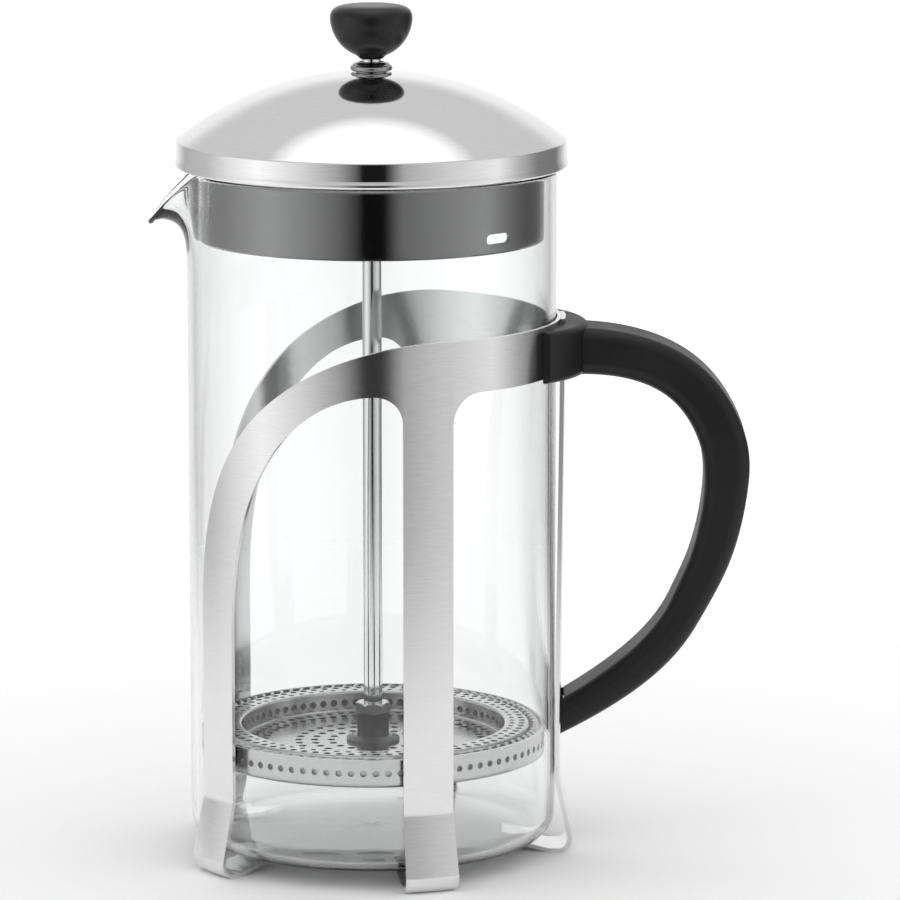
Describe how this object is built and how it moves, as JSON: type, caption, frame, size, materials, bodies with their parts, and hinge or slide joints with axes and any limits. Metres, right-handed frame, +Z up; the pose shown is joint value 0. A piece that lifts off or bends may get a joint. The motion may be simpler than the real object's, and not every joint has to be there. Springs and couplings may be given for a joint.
{
  "type": "french press",
  "caption": "Glass plunger coffee maker in a swept steel cage with a black loop handle, polished domed lid, round knob, plunger rod and sprung disc filter.",
  "frame": {"origin": "on the beaker's axis, at the level of the table", "axes": "+Z up along the beaker's axis, +X towards the handle, -X towards the spout"},
  "size_m": [0.1562, 0.104, 0.2235],
  "materials": {
    "cage_steel": "satin brushed stainless sheet",
    "handle_plastic": "fine matt moulded surface",
    "screw_steel": "plain steel",
    "brass": "machined",
    "beaker_glass": "clear heat-resistant glass, fire polished",
    "dome_steel": "mirror-polished stainless steel",
    "collar_steel": "polished stainless steel, dark in its reflections",
    "boss_steel": "polished, dark in its reflections",
    "nylon": "natural nylon",
    "rod_steel": "polished rod",
    "knob_plastic": "smooth moulded surface",
    "filter_steel": "pressed and perforated stainless sheet",
    "mesh_steel": "fine woven wire",
    "coil_steel": "spring wire",
    "hub_steel": "dark turned steel"
  },
  "bodies": {
    "frame": {"frame_hoop": "cage_steel", "rear_strap": "cage_steel", "handle": "handle_plastic", "handle_screws": "screw_steel", "handle_inserts": "brass"},
    "beaker": {"glass_beaker": "beaker_glass"},
    "lid": {"lid_dome": "dome_steel", "rod_guide_boss": "boss_steel", "rod_bush": "nylon", "guide_nut": "screw_steel"},
    "collar": {"lid_collar": "collar_steel"},
    "plunger": {"plunger_rod": "rod_steel"},
    "knob": {"knob": "knob_plastic", "knob_insert": "brass"},
    "filter": {"cross_plate": "filter_steel", "mesh_screen": "mesh_steel", "spiral_plate": "filter_steel", "coil_spring": "coil_steel", "cross_hub": "hub_steel", "hub_washer": "hub_steel", "lock_nut": "screw_steel"}
  },
  "joints": [
    {"name": "beaker_lift", "type": "slide", "parent": "frame", "child": "beaker", "axis": [0, 0, 1], "range_m": [0, 0.145]},
    {"name": "lid_lift", "type": "slide", "parent": "beaker", "child": "lid", "axis": [0, 0, 1], "range_m": [0, 0.16]},
    {"name": "lid_turn", "type": "hinge", "parent": "lid", "child": "collar", "pos_m": [0, 0, 0.17], "axis": [0, 0, 1], "continuous": true},
    {"name": "plunge", "type": "slide", "parent": "lid", "child": "plunger", "axis": [0, 0, 1], "range_m": [0, 0.128]},
    {"name": "knob_turn", "type": "hinge", "parent": "plunger", "child": "knob", "pos_m": [0, 0, 0.216], "axis": [0, 0, 1], "continuous": true},
    {"name": "filter_turn", "type": "hinge", "parent": "plunger", "child": "filter", "pos_m": [0, 0, 0.031], "axis": [0, 0, 1], "continuous": true}
  ]
}
